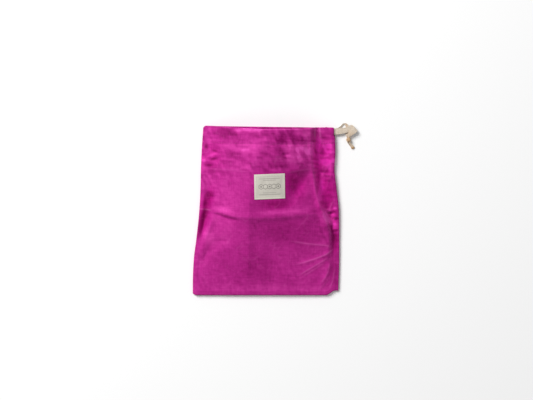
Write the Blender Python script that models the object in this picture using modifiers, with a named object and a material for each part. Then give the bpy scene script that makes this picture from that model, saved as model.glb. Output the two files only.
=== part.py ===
"""A drawstring bread bag of waxed cotton, lying on its back, its mouth open and its
front raised and rounded, as the stiff cloth stays once the bag has been filled.

X runs across the bag, +Y points out of its mouth and +Z points up. The bag rests on
the plane z = 0, and the origin lies under the middle of it. Sizes are in millimetres
and become metres in as_metres(), the only place that scales.
"""

import math
from collections import namedtuple

import bpy
import numpy as np
from mathutils import Matrix

CLOTH = 1.2  # thickness of the waxed cloth
TAPE = 1.0  # thickness of the cotton drawstring tape
TAPE_WIDTH = 13.0
LABEL_WIDTH = 62.0
LABEL_DEPTH = 50.4
LABEL_THICK = 1.0
GAP = 0.3  # between pieces that touch

BOTTOM_Y = -173.9  # bottom seam
MOUTH_LEFT_Y = 172.3  # fold of the mouth at the left and the right side seam
MOUTH_RIGHT_Y = 168.6
PULL_BACK = 10.5  # how far the raised middle of the mouth is drawn back
BOTTOM_LIP = 2.6  # radius in which the cloth turns down to the bottom seam
CORNER_CUT_X = 123.6  # where the tucked bottom right corner starts, its reach and its rise
CORNER_CUT_REACH = 18.0
CORNER_CUT_RISE = 9.3
CORNER_ROUND = 3.5  # the roundness of the bottom left corner and of the mouth's left end
MOUTH_ROUND = 2.6

HEM_DEPTH = 33.0  # the casing: the mouth's edge folded in and sewn down this deep
TUNNEL = 1.9  # clear height of the casing, where the tape runs
HEM_ROWS = (0.0, 10.0, 20.0, 28.0, HEM_DEPTH)  # distance of each hem row from the mouth
HEM_EASE = 1.9  # column from which the hem draws in, to end clear of the slit
HEM_END = 1.98
TAPE_IN_CASING = 10.3  # distance of the tape's middle from the mouth
CLIMB_START = 7.0  # where the tape starts and ends its rise to the slit, from the right seam
CLIMB_END = 0.7
CLIMB_STEPS = 5

SEAM_GAP = 0.42  # half the gap between front and back along the sewn seams
SLIT_GAP = 2.3  # half the opening in the right seam where the tape comes out
SLIT_END_Y = 149.5  # where the slit starts to open, and over what length it opens
SLIT_FADE = 4.0

# Cross-sections from the bottom to the mouth. The lip is the radius of the cloth at the
# side seams. Foot, shoulder and crest are the places where the front's profile turns.
Section = namedtuple(
    "Section",
    "y left right lip left_foot_x left_foot_z left_shoulder_x left_shoulder_z"
    " crest_x crest_z right_shoulder_x right_shoulder_z right_foot_x right_foot_z",
)
SECTIONS = [
    Section(-174, -150.4, 148.6, 2.6, -143, 6.2, -125, 6.8, -30, 7.6, 122, 6.8, 141, 6.2),
    Section(-150, -150.3, 149.4, 2.7, -142, 6.8, -124, 9.0, -30, 13.0, 123, 9.0, 140, 6.6),
    Section(-105, -148.5, 150.4, 2.9, -139, 7.4, -122, 12.5, -32, 21.5, 124, 12.0, 139, 6.8),
    Section(-55, -142.5, 150.4, 3.2, -133, 8.2, -118, 16.0, -35, 32.0, 128, 17.0, 141, 7.4),
    Section(-8, -137.5, 149.9, 3.6, -122, 9.0, -104, 21.0, -33, 43.0, 114, 21.0, 134, 8.4),
    Section(40, -134.5, 145.2, 4.2, -119, 11.5, -88, 31.0, -20, 50.0, 99, 28.5, 118, 10.5),
    Section(85, -133.5, 140.8, 4.7, -118, 14.0, -78, 38.5, 0, 56.5, 91, 35.5, 109, 12.2),
    Section(120, -132.0, 142.6, 5.0, -115, 16.0, -73, 42.5, 8, 60.0, 89, 39.0, 107, 13.4),
    Section(168, -128.8, 140.6, 5.2, -112, 17.0, -72, 44.0, 8, 61.5, 89, 40.0, 107, 14.4),
]

# Main creases of the front: a curve from (x0, y0) to (x1, y1) drawn towards (xb, yb),
# its half width, and how far it stands up (or lies in, where negative).
Fold = namedtuple("Fold", "x0 y0 xb yb x1 y1 width height")
FOLDS = {
    "half_fold": Fold(-120, 3, -24, -30, 134, 5, 6.5, 3.0),
    "quarter_fold": Fold(-112, 87, -60, 84, -26, 77, 6.0, 1.2),
    "quarter_fold_right": Fold(40, 78, 62, 85, 100, 85, 6.0, 1.2),
    "middle_fold": Fold(8, 160, -32, 110, -33, 70, 9.0, 1.4),
    "middle_fold_low": Fold(-33, 66, -36, -40, -38, -168, 8.0, 1.8),
    "right_ridge": Fold(96, 96, 99, 12, 136, -66, 6.0, 2.2),
    "right_trough": Fold(124, 26, 136, -20, 140, -86, 6.0, -2.4),
    "fan_top": Fold(140, -75, 108, -73, 76, -66, 6.0, 1.2),
    "fan_middle": Fold(138, -79, 114, -98, 64, -113, 6.0, 2.0),
    "fan_bottom": Fold(128, -95, 102, -109, 70, -130, 6.0, 1.4),
    "corner_fold": Fold(133, -100, 128, -130, 108, -160, 6.0, 1.5),
    "left_bulge": Fold(-100, -8, -130, -40, -138, -112, 8.5, 3.4),
    "left_hollow": Fold(-62, -60, -112, -56, -134, -116, 9.0, -1.8),
    "left_rim": Fold(-130, 38, -131, -10, -141, -62, 5.0, 3.0),
    "left_trough": Fold(-116, 44, -120, -8, -137, -66, 6.5, -3.2),
    "label_valley": Fold(100, 92, 66, 52, 40, 4, 15.0, -4.0),
}

ARC = (0.0, 1 / 3, 2 / 3)  # steps around a lip
# Columns run from the left seam (0) over its lip (1), across (2) to the right seam (3).
FRONT_ACROSS = (
    *np.linspace(0, 0.64, 19),
    *np.linspace(0.64, 0.8, 7)[1:],
    *np.linspace(0.8, 0.94, 12)[1:],
    *np.linspace(0.94, 1, 4)[1:],
)
BACK_ACROSS = tuple(np.linspace(0, 1, 11))
# Rows run from the bottom seam (0) over its lip (1) to the mouth (2).
FRONT_ALONG = (
    *np.linspace(0, 0.43, 19),
    *np.linspace(0.43, 0.54, 7)[1:],
    *np.linspace(0.54, 0.88, 12)[1:],
)
BACK_ALONG = tuple(np.linspace(0, 0.88, 12))

MOUTH_TURN = (45, 90, 135)  # degrees round the fold of the mouth
STEP = 1e-3  # distance between rows or columns for a slope

FOLD_FADE = 0.22  # share of a fold's length in which it rises at either end
FOLD_STEPS = 41  # places along a fold from which distances are taken

LABEL_X = 7.4
LABEL_Y = 48.0
LABEL_TURN = math.radians(2.4)
LABEL_COLUMNS = 8
LABEL_ROWS = 7
LABEL_LIFT = 3 * GAP  # clears the folds under the label

# The drawstring's two free strands, outside the right seam. Each row is a line across
# the tape: its middle, the way it points in plan, its length and how far it is tipped up.
TapeRow = namedtuple("TapeRow", "x y z across width tip")
TAPE_START_X = 143.0
FRONT_STRAND = [
    TapeRow(TAPE_START_X, 162.2, 6.6, 90, TAPE_WIDTH, 0),
    TapeRow(150.0, 162.8, 6.7, 92, 12.6, 0),
    TapeRow(158.0, 163.9, 6.8, 95, 11.6, 0),
    TapeRow(166.0, 165.6, 6.6, 100, 11.0, 0),
    TapeRow(173.4, 168.4, 6.2, 112, 13.0, 0),
    TapeRow(179.4, 169.8, 6.0, 122, 14.8, 0),
    TapeRow(183.6, 168.8, 7.0, 130, 13.2, 0),
    TapeRow(182.0, 165.6, 8.2, 137, 12.4, 0),
    TapeRow(177.2, 161.4, 8.4, 150, 12.6, 0),
    TapeRow(172.8, 156.6, 8.0, 162, 10.4, 0),
    TapeRow(170.4, 152.4, 6.6, 170, 7.2, 0),
    TapeRow(169.6, 149.5, 6.0, 175, 5.6, 0),
]
BACK_STRAND = [
    TapeRow(TAPE_START_X, 162.2, 5.2, 90, TAPE_WIDTH, 0),
    TapeRow(147.5, 163.8, 4.3, 112, 12.4, 6),
    TapeRow(151.6, 168.8, 3.9, 132, 9.6, 36),
    TapeRow(155.8, 174.0, 3.4, 132, 6.4, 72),
    TapeRow(160.2, 178.0, 3.0, 116, 5.2, 80),
    TapeRow(164.6, 176.6, 3.0, 66, 6.2, 46),
    TapeRow(167.0, 172.6, 2.8, 32, 7.2, 20),
    TapeRow(168.4, 167.0, 2.4, 8, 9.4, 6),
    TapeRow(168.4, 160.6, 2.5, 0, 10.0, 0),
    TapeRow(168.6, 154.0, 3.6, 0, 7.6, 0),
    TapeRow(169.4, 149.68, 4.6, 0, 5.4, 0),
]
FRONT_TAIL = [
    TapeRow(171.0, 140.75, 4.9, 20, 4.0, 0),
    TapeRow(174.4, 137.2, 3.5, 36, 3.6, 0),
    TapeRow(177.6, 133.2, 2.3, 34, 3.9, 0),
    TapeRow(179.6, 128.8, 2.0, 24, 5.6, 0),
]
BACK_TAIL = [
    TapeRow(169.5, 140.75, 3.3, 10, 4.4, 0),
    TapeRow(172.4, 136.6, 1.6, 30, 4.2, 0),
    TapeRow(175.8, 132.4, 0.7, 32, 4.4, 0),
    TapeRow(178.2, 128.8, 0.6, 28, 5.4, 0),
]
STRAND_STEPS = 3  # rows between two rows of a table
KNOT = (169.6, 145.0, 4.95)
KNOT_CORE = 3.5  # radii of the knot's core, its wrap and the wrap's own roll
KNOT_WRAP = 2.7
KNOT_ROLL = 1.95
KNOT_STRETCH = 1.25  # the core's length against its width
KNOT_TILT = math.radians(14)  # slant of the wrap round the core
KNOT_HEADING = math.radians(-98)  # the way in which the strands run through the knot

WAXED_COTTON = (0.46, 0.018, 0.21)  # linear colours
LABEL_COTTON = (0.58, 0.55, 0.49)
TAPE_COTTON = (0.68, 0.6, 0.45)


def smooth_curve(knots, values, at):
    """A cubic through the knots that never swings past them."""
    knots = np.asarray(knots, float)
    values = np.asarray(values, float)
    rise = np.diff(values) / np.diff(knots)
    before, after = rise[:-1], rise[1:]
    same_way = before * after > 0
    total = np.where(same_way, before + after, 1.0)
    inner = np.where(same_way, 2 * before * after / total, 0.0)
    slope = np.concatenate([rise[:1], inner, rise[-1:]])
    at = np.clip(at, knots[0], knots[-1])
    k = np.clip(np.searchsorted(knots, at) - 1, 0, len(knots) - 2)
    span = knots[k + 1] - knots[k]
    t = (at - knots[k]) / span
    ease = t * t * (3 - 2 * t)
    bend = slope[k] * t * (1 - t) ** 2 - slope[k + 1] * t * t * (1 - t)
    return values[k] + (values[k + 1] - values[k]) * ease + span * bend


def smooth_step(t):
    t = np.clip(t, 0.0, 1.0)
    return t * t * (3 - 2 * t)


def section_at(y):
    """The cross-section at this distance along the bag."""
    table = np.array(SECTIONS, float)
    return Section(y, *(float(smooth_curve(table[:, 0], column, y)) for column in table.T[1:]))


def front_profile(section, x):
    """Height of the front cloth's middle over the flat plane, between the two side lips."""
    rim = CLOTH / 2 + 2 * section.lip
    knots = [
        section.left + section.lip,
        section.left_foot_x,
        section.left_shoulder_x,
        section.crest_x,
        section.right_shoulder_x,
        section.right_foot_x,
        section.right - section.lip,
    ]
    heights = [
        rim,
        section.left_foot_z,
        section.left_shoulder_z,
        section.crest_z,
        section.right_shoulder_z,
        section.right_foot_z,
        rim,
    ]
    return smooth_curve(knots, heights, x)


def creases(x, y):
    """What the main folds add to the front's height at these places."""
    total = np.zeros(np.broadcast(x, y).shape)
    steps = np.linspace(0, 1, FOLD_STEPS)
    for fold in FOLDS.values():
        cx = (1 - steps) ** 2 * fold.x0 + 2 * steps * (1 - steps) * fold.xb + steps**2 * fold.x1
        cy = (1 - steps) ** 2 * fold.y0 + 2 * steps * (1 - steps) * fold.yb + steps**2 * fold.y1
        away = np.hypot(x[..., None] - cx, y[..., None] - cy)
        nearest = steps[away.argmin(-1)]
        fade = smooth_step(np.minimum(nearest, 1 - nearest) / FOLD_FADE)
        total += fold.height * fade * np.exp(-((away.min(-1) / fold.width) ** 2))
    return total


def bottom_edge(x):
    """The bottom seam's place: straight, with a tucked right corner and a round left one."""
    tuck = CORNER_CUT_RISE * smooth_step((x - CORNER_CUT_X) / CORNER_CUT_REACH)
    left = SECTIONS[0].left
    rounding = CORNER_ROUND * np.clip(1 - (x - left) / (2 * CORNER_ROUND), 0, 1) ** 2
    return BOTTOM_Y + tuck + rounding


def mouth_edge(x, side):
    """The mouth fold's place. The front is drawn back where it is raised."""
    end = SECTIONS[-1]
    share = (x - end.left) / (end.right - end.left)
    line = MOUTH_LEFT_Y + (MOUTH_RIGHT_Y - MOUTH_LEFT_Y) * share
    rim = CLOTH / 2 + 2 * end.lip
    raised = (front_profile(end, x) - rim) / (end.crest_z - rim)
    line = line - MOUTH_ROUND * np.clip(1 - (x - end.left) / (2 * MOUTH_ROUND), 0, 1) ** 2
    return line - (PULL_BACK * np.clip(raised, 0, 1) if side > 0 else 0.0)


def nominal_y(x, y):
    """The table distance that belongs to a place on the front."""
    low = bottom_edge(x) + BOTTOM_LIP
    share = (y - low) / (mouth_edge(x, 1) - low)
    return BOTTOM_Y + BOTTOM_LIP + share * (SECTIONS[-1].y - BOTTOM_Y - BOTTOM_LIP)


def front_height(x, y):
    """Height of the front cloth's middle at places inside its side lips."""
    table_y = nominal_y(x, y)
    flat = [front_profile(section_at(ty), px) for ty, px in zip(table_y.ravel(), x.ravel())]
    return np.array(flat).reshape(x.shape) + creases(x, y)


def panel_row(side, columns, row):
    """One line of the cloth's middle from seam to seam, side 1 for the front, -1 for the back."""
    columns = np.asarray(columns, float)
    along = max(row - 1, 0.0)
    table_y = BOTTOM_Y + BOTTOM_LIP + along * (SECTIONS[-1].y - BOTTOM_Y - BOTTOM_LIP)
    section = section_at(table_y)
    lip = section.lip
    seam_z = CLOTH / 2 + lip
    slit = smooth_step((table_y - SLIT_END_Y) / SLIT_FADE)
    right_gap = SEAM_GAP + (SLIT_GAP - SEAM_GAP) * slit
    half_gap = np.where(columns > 2, right_gap, SEAM_GAP)
    around = math.pi / 2 * np.clip(np.minimum(columns, 3 - columns), 0, 1)
    turn = math.pi / 2 * min(row, 1.0)
    share = np.clip(columns - 1, 0, 1)
    x = section.left + lip + share * (section.right - section.left - 2 * lip)
    sideways = np.where(columns < 1, -1.0, np.where(columns > 2, 1.0, 0.0))
    edge_x = x + sideways * lip * np.cos(around)
    low = bottom_edge(edge_x) + BOTTOM_LIP
    y = low + along * (mouth_edge(edge_x, side) - low)
    y = y - BOTTOM_LIP * math.cos(turn)
    top = front_profile(section, x) + creases(x, y) if side > 0 else np.full(x.shape, CLOTH / 2)
    edge_z = seam_z + side * half_gap
    z = edge_z + (top - edge_z) * np.sin(around) * math.sin(turn)
    return np.stack([edge_x, y, z], axis=-1)


def panel_frame(side, columns, row):
    """A line of the cloth with its outward normal and its direction towards the mouth."""
    columns = np.asarray(columns, float)
    here = panel_row(side, columns, row)
    left = panel_row(side, np.maximum(columns - STEP, 0), row)
    right = panel_row(side, np.minimum(columns + STEP, 3), row)
    across = right - left
    along = here - panel_row(side, columns, row - STEP)
    normal = np.cross(across, along) * side
    normal /= np.linalg.norm(normal, axis=-1, keepdims=True)
    along /= np.linalg.norm(along, axis=-1, keepdims=True)
    return here, normal, along


def row_from_mouth(distance):
    """The row that lies this far inside the mouth fold."""
    return 2 - distance / (SECTIONS[-1].y - BOTTOM_Y - BOTTOM_LIP)


def panel(side, across, along):
    """A whole panel: the outer cloth, the turn at the mouth, and the hem inside it."""
    columns = np.array([*ARC, *(1 + np.asarray(across)), *(3 - np.array(ARC[::-1]))])
    rows = [*ARC, *(1 + np.asarray(along))]
    rows += [row_from_mouth(distance) for distance in HEM_ROWS[::-1]]
    lines = [panel_row(side, columns, row) for row in rows]
    turn_radius = (CLOTH + TUNNEL) / 2
    drawn_in = HEM_EASE + (columns - HEM_EASE) / (3 - HEM_EASE) * (HEM_END - HEM_EASE)
    hem_columns = np.where(columns > HEM_EASE, drawn_in, columns)
    for angle in np.radians(MOUTH_TURN):
        mixed = columns + (hem_columns - columns) * angle / math.pi
        here, normal, forward = panel_frame(side, mixed, 2.0)
        centre = here - turn_radius * normal
        lines.append(centre + turn_radius * (normal * math.cos(angle) + forward * math.sin(angle)))
    for distance in HEM_ROWS:
        inset = CLOTH + (GAP if distance == HEM_DEPTH else TUNNEL)
        here, normal, _ = panel_frame(side, hem_columns, row_from_mouth(distance))
        lines.append(here - inset * normal)
    return np.array(lines)


def casing_tape():
    """The drawstring inside the casing: in at the slit, round the left seam and out again."""
    inset = (CLOTH + TUNNEL) / 2
    rows = [row_from_mouth(TAPE_IN_CASING + sign * TAPE_WIDTH / 2) for sign in (-1, 1)]
    end = SECTIONS[-1]
    climb_start = end.right - CLIMB_START
    last = (climb_start - end.left - end.lip) / (end.right - end.left - 2 * end.lip)
    front = np.array([*ARC, *(1 + share for share in FRONT_ACROSS if share < last), 1 + last])[::-1]
    back = np.array([*ARC, *(1 + share for share in BACK_ACROSS if share < last), 1 + last])
    edges = []
    for row in rows:
        line = []
        for side, columns in ((1, front), (-1, back)):
            here, normal, _ = panel_frame(side, columns, row)
            line.append(here - inset * normal)
        edges.append(np.concatenate(line))
    ring = np.stack(edges, axis=1)
    climb_x = np.linspace(climb_start, TAPE_START_X - GAP, CLIMB_STEPS + 1)[1:]
    climbs = []
    for strand, tunnel_row in ((FRONT_STRAND, ring[0]), (BACK_STRAND, ring[-1])):
        first = strand[0]
        ease = smooth_step((climb_x - climb_start) / (CLIMB_START - CLIMB_END))[:, None]
        climb = np.empty((CLIMB_STEPS, 2, 3))
        climb[..., 0] = climb_x[:, None]
        target = np.array([first.y + first.width / 2, first.y - first.width / 2])
        climb[..., 1] = tunnel_row[:, 1] + (target - tunnel_row[:, 1]) * ease
        climb[..., 2] = tunnel_row[:, 2] + (first.z - tunnel_row[:, 2]) * ease
        climbs.append(climb)
    return np.concatenate([climbs[0][::-1], ring, climbs[1]])


def strand(table):
    """The lines across a free strand, eased between the rows of its table."""
    table = np.array(table, float)
    at = np.linspace(0, len(table) - 1, (len(table) - 1) * STRAND_STEPS + 1)
    places = np.arange(len(table))
    x, y, z, across, width, tip = (smooth_curve(places, column, at) for column in table.T)
    across, tip = np.radians(across), np.radians(tip)
    arm = np.stack([np.cos(across) * np.cos(tip), np.sin(across) * np.cos(tip), np.sin(tip)], -1)
    middle = np.stack([x, y, z], -1)
    reach = arm * width[:, None] / 2
    return np.stack([middle + reach, middle, middle - reach], axis=1)


def label_grid():
    """The sewn-on label, lying on the front panel."""
    a, b = np.meshgrid(
        np.linspace(-0.5, 0.5, LABEL_COLUMNS) * LABEL_WIDTH,
        np.linspace(-0.5, 0.5, LABEL_ROWS) * LABEL_DEPTH,
    )
    x = LABEL_X + a * math.cos(LABEL_TURN) - b * math.sin(LABEL_TURN)
    y = LABEL_Y + a * math.sin(LABEL_TURN) + b * math.cos(LABEL_TURN)
    z = front_height(x, y) + (CLOTH + LABEL_THICK) / 2 + LABEL_LIFT
    return np.stack([x, y, z], axis=-1)


def as_metres(points):
    return np.asarray(points, float) / 1000


def sheet(name, grid, thickness, material, parent):
    """A sheet of cloth or tape: a grid laid on these places, with its thickness from Solidify."""
    rows, columns, _ = grid.shape
    bpy.ops.mesh.primitive_grid_add(x_subdivisions=columns - 1, y_subdivisions=rows - 1, size=1)
    piece = bpy.context.object
    piece.name = name
    piece.data.name = name
    piece.data.vertices.foreach_set("co", as_metres(grid).ravel())
    piece.data.update()
    shell = piece.modifiers.new("thickness", "SOLIDIFY")
    shell.thickness = thickness / 1000
    shell.offset = 0.0
    shell.use_even_offset = True
    piece.data.shade_smooth()
    return finished(piece, material, parent.users_collection[0], parent)


def finished(piece, material, collection, parent=None):
    """The piece with its material, in its collection and under its parent."""
    piece.data.materials.append(material)
    for other in list(piece.users_collection):
        other.objects.unlink(piece)
    collection.objects.link(piece)
    piece.parent = parent
    return piece


def knot(name, material, parent, guides):
    """The overhand knot: a core with the tape's one wrap round it."""
    place = Matrix.Translation(as_metres(KNOT)) @ Matrix.Rotation(KNOT_HEADING, 4, "Z")
    along_tape = place @ Matrix.Rotation(math.pi / 2, 4, "Y")
    bpy.ops.mesh.primitive_torus_add(
        major_radius=KNOT_WRAP / 1000,
        minor_radius=KNOT_ROLL / 1000,
        major_segments=20,
        minor_segments=8,
    )
    wrap = finished(bpy.context.object, material, guides)
    wrap.name = "knot_wrap"
    wrap.hide_render = True
    wrap.display_type = "WIRE"
    wrap.matrix_world = along_tape @ Matrix.Rotation(KNOT_TILT, 4, "X")
    bpy.ops.mesh.primitive_uv_sphere_add(segments=16, ring_count=10, radius=KNOT_CORE / 1000)
    core = bpy.context.object
    core.name = name
    core.data.name = name
    core.data.transform(Matrix.Diagonal((1.0, 1.0, KNOT_STRETCH, 1.0)))
    core.matrix_world = along_tape
    union = core.modifiers.new("wrap", "BOOLEAN")
    union.operation = "UNION"
    union.object = wrap
    core.data.shade_smooth()
    return finished(core, material, parent.users_collection[0], parent)


def cloth_material(name, colour, roughness):
    material = bpy.data.materials.new(name)
    material.use_nodes = True
    shader = material.node_tree.nodes["Principled BSDF"]
    shader.inputs["Base Color"].default_value = (*colour, 1.0)
    shader.inputs["Roughness"].default_value = roughness
    shader.inputs["Metallic"].default_value = 0.0
    return material


def main():
    for leftover in list(bpy.data.objects):
        bpy.data.objects.remove(leftover)
    bag_parts = bpy.data.collections.new("bread_bag")
    guides = bpy.data.collections.new("guides")
    bpy.context.scene.collection.children.link(bag_parts)
    bpy.context.scene.collection.children.link(guides)
    bag = bpy.data.objects.new("bread_bag", None)
    bag_parts.objects.link(bag)

    waxed_cotton = cloth_material("waxed_cotton", WAXED_COTTON, 0.7)
    label_cotton = cloth_material("label_cotton", LABEL_COTTON, 0.85)
    tape_cotton = cloth_material("tape_cotton", TAPE_COTTON, 0.85)

    sheet("front_panel", panel(1, FRONT_ACROSS, FRONT_ALONG), CLOTH, waxed_cotton, bag)
    sheet("back_panel", panel(-1, BACK_ACROSS, BACK_ALONG), CLOTH, waxed_cotton, bag)
    sheet("label", label_grid(), LABEL_THICK, label_cotton, bag)
    sheet("casing_tape", casing_tape(), TAPE, tape_cotton, bag)
    strands = {
        "front_strand": FRONT_STRAND,
        "back_strand": BACK_STRAND,
        "front_tail": FRONT_TAIL,
        "back_tail": BACK_TAIL,
    }
    for name, table in strands.items():
        sheet(name, strand(table), TAPE, tape_cotton, bag)
    knot("knot", tape_cotton, bag, guides)


main()
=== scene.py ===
# A drawstring bread bag of beeswax-coated cotton, lying on its back with its mouth open.
# X runs across the bag, +Y out of its mouth, +Z up. Lengths are millimetres, which makePiece turns to metres.
import math

import bpy
import numpy as np
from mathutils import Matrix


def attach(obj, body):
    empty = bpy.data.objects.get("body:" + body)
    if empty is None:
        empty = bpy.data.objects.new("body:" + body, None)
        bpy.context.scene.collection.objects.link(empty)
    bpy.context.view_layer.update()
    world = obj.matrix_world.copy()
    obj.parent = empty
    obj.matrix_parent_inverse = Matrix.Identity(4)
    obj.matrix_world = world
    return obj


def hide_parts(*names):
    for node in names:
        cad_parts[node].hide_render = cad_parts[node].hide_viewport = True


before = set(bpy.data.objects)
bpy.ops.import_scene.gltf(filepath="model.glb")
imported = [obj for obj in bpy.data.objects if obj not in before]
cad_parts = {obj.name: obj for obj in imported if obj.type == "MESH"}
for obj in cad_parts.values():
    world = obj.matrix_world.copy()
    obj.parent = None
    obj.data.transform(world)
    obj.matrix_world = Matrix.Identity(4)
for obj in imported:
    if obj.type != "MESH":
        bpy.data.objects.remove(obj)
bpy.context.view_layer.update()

# Camera

cameraSetup = {
    "place": (1.0, 21.6, 2600.0),  # straight above the middle of the picture
    "viewWidth": 1098.0,  # what the picture's width covers on the table
    "sensor": 36.0,
    "reach": 20000.0,  # how far it sees
}


def addObject(name, data):
    added = bpy.data.objects.new(name, data)
    bpy.context.scene.collection.objects.link(added)
    return added


def makeCamera(setup):
    data = bpy.data.cameras.new("camera")
    data.sensor_width = setup["sensor"]
    data.lens = setup["sensor"] * setup["place"][2] / setup["viewWidth"]
    data.clip_end = setup["reach"] / 1000
    camera = addObject("camera", data)
    camera.location = [value / 1000 for value in setup["place"]]
    bpy.context.scene.camera = camera


makeCamera(cameraSetup)
print("camera ready")

# Helpers for numbers, meshes and materials


def glide(knots, values, at):
    # a cubic in each gap between knots; its slope at a knot is the harmonic mean of the rises on both
    # sides, and level where they differ in sign, so the curve never swings past its values
    rise = np.diff(values, axis=0)
    gap = np.diff(knots, axis=0)
    rise = rise / gap.reshape(gap.shape + (1,) * (rise.ndim - gap.ndim))
    before, after = rise[:-1], rise[1:]
    sameWay = before * after > 0
    inner = np.where(sameWay, 2 * before * after / np.where(sameWay, before + after, 1.0), 0.0)
    slope = np.concatenate([rise[:1], inner, rise[-1:]])
    at = np.clip(at, knots[0], knots[-1])
    result = values[0] + 0.0 * at
    for k in range(len(knots) - 1):
        span = knots[k + 1] - knots[k]
        t = np.clip((at - knots[k]) / span, 0, 1)
        ease = t * t * (3 - 2 * t)
        bend = slope[k] * t * (1 - t) ** 2 - slope[k + 1] * t * t * (1 - t)
        piece = values[k] + (values[k + 1] - values[k]) * ease + span * bend
        result = np.where(at >= knots[k], piece, result)
    return result


def smoothStep(t):
    t = np.clip(t, 0.0, 1.0)
    return t * t * (3 - 2 * t)


def ramp(value, start, length):
    return smoothStep((value - start) / length)


def bell(distance, width):
    return np.exp(-((distance / width) ** 2))


def clothNoise(x, y, size, seed):
    # seeded heights from -1 to 1 on a square lattice of this size, eased between its points
    count = 160
    lattice = np.random.default_rng(seed).uniform(-1, 1, (count, count))
    gx, gy = x / size + count / 2, y / size + count / 2
    ix, iy = np.floor(gx).astype(int), np.floor(gy).astype(int)
    tx, ty = smoothStep(gx - ix), smoothStep(gy - iy)
    ix, iy = ix % (count - 1), iy % (count - 1)
    low = lattice[iy, ix] * (1 - tx) + lattice[iy, ix + 1] * tx
    high = lattice[iy + 1, ix] * (1 - tx) + lattice[iy + 1, ix + 1] * tx
    return low * (1 - ty) + high * ty


def lineDistance(line, x, y):
    # distance from places to a line of points in plan, and the share of the line where it is nearest
    away = np.full(x.shape, 1e9)
    share = np.zeros(x.shape)
    pieces = len(line) - 1
    for k in range(pieces):
        start, run = line[k], line[k + 1] - line[k]
        t = np.clip(((x - start[0]) * run[0] + (y - start[1]) * run[1]) / (run @ run), 0, 1)
        reach = np.hypot(x - start[0] - t * run[0], y - start[1] - t * run[1])
        nearer = reach < away
        away = np.where(nearer, reach, away)
        share = np.where(nearer, (k + t) / pieces, share)
    return away, share


def unit(vectors):
    return vectors / np.linalg.norm(vectors, axis=-1, keepdims=True)


def pathRun(points):
    # distance run along a line of points, or along the rows of a grid on the average of its columns
    steps = np.linalg.norm(np.diff(points, axis=0), axis=-1).reshape(len(points) - 1, -1)
    return np.concatenate([[0], np.cumsum(steps.mean(axis=1))])


def ringAngles(count):
    return np.linspace(0, 2 * math.pi, count, endpoint=False)


def threadPlace(across, along):
    # places along the threads of both directions, in metres
    return np.stack(np.broadcast_arrays(across, along), -1) / 1000


def gridFaces(rows, columns, closed=False):
    # quads between neighbouring rows and columns; closed joins the last column to the first
    wide = columns if closed else columns - 1
    r, c = np.meshgrid(np.arange(rows - 1), np.arange(wide), indexing="ij")
    nextC = (c + 1) % columns
    quads = [r * columns + c, r * columns + nextC, (r + 1) * columns + nextC, (r + 1) * columns + c]
    return np.stack(quads, axis=-1).reshape(-1, 4)


def tubeFaces(tubes, rings, sides, turned=False):
    # faces of capped tubes of the same make, one after another; turned where their rings run the other way
    starts = np.arange(tubes)[:, None] * rings * sides
    quads = (gridFaces(rings, sides, closed=True) + starts[..., None]).reshape(-1, 4)
    caps = np.arange(sides) + starts
    faces = quads.tolist() + caps[:, ::-1].tolist() + (caps + (rings - 1) * sides).tolist()
    return [face[::-1] for face in faces] if turned else faces


def makePiece(name, points, faces, material, uv=None, attributes=None):
    # a smooth mesh piece that rides on the bag; points in millimetres, uv and attributes one per point
    mesh = bpy.data.meshes.new(name)
    mesh.from_pydata((np.asarray(points).reshape(-1, 3) / 1000).tolist(), [], faces)
    if uv is not None:
        corners = np.empty(len(mesh.loops), dtype=np.int64)
        mesh.loops.foreach_get("vertex_index", corners)
        layer = mesh.uv_layers.new(name="cloth")
        layer.data.foreach_set("uv", np.asarray(uv, float).reshape(-1, 2)[corners].ravel())
    for key, values in (attributes or {}).items():
        layer = mesh.attributes.new(key, "FLOAT", "POINT")
        layer.data.foreach_set("value", np.asarray(values, np.float32).ravel())
    mesh.shade_smooth()
    mesh.materials.append(material)
    piece = addObject(name, mesh)
    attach(piece, "root")
    return piece


def thicken(piece, thickness):
    shell = piece.modifiers.new("thickness", "SOLIDIFY")
    shell.thickness = thickness / 1000
    shell.offset = 0.0
    shell.use_even_offset = True


def hexColour(text, strength=1.0):
    # sRGB hex text to linear red, green, blue and alpha
    parts = np.array([int(text[i:i + 2], 16) for i in (1, 3, 5)]) / 255
    linear = np.where(parts <= 0.04045, parts / 12.92, ((parts + 0.055) / 1.055) ** 2.4) * strength
    return (*linear.tolist(), 1.0)


def addNode(tree, kind, props=(), values=(), links=()):
    # a shader node with its own properties, its sockets' values, and what feeds its sockets: another
    # socket, or a node, which gives its first output
    node = tree.nodes.new("ShaderNode" + kind)
    for key, value in dict(props).items():
        setattr(node, key, value)
    for socket, value in dict(values).items():
        node.inputs[socket].default_value = value
    for socket, source in dict(links).items():
        output = source.outputs[0] if isinstance(source, bpy.types.Node) else source
        tree.links.new(output, node.inputs[socket])
    return node


def startMaterial(name, finish):
    material = bpy.data.materials.new(name)
    material.use_nodes = True
    tree = material.node_tree
    shader = tree.nodes["Principled BSDF"]
    shader.inputs["Roughness"].default_value = finish["roughness"]
    shader.inputs["Specular IOR Level"].default_value = finish["specular"]
    return material, tree, shader


def crossedThreads(tree, place, across, along, detail):
    # noise drawn out along the threads of both directions and added; its scales are per metre
    layers = []
    for scale in ((across, along, 1), (along, across, 1)):
        spread = addNode(tree, "Mapping", values={"Scale": scale}, links={"Vector": place})
        values = {"Scale": 1.0, "Detail": detail}
        layers.append(addNode(tree, "TexNoise", values=values, links={"Vector": spread}))
    return addNode(tree, "Math", {"operation": "ADD"}, links=dict(enumerate(layers)))


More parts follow.
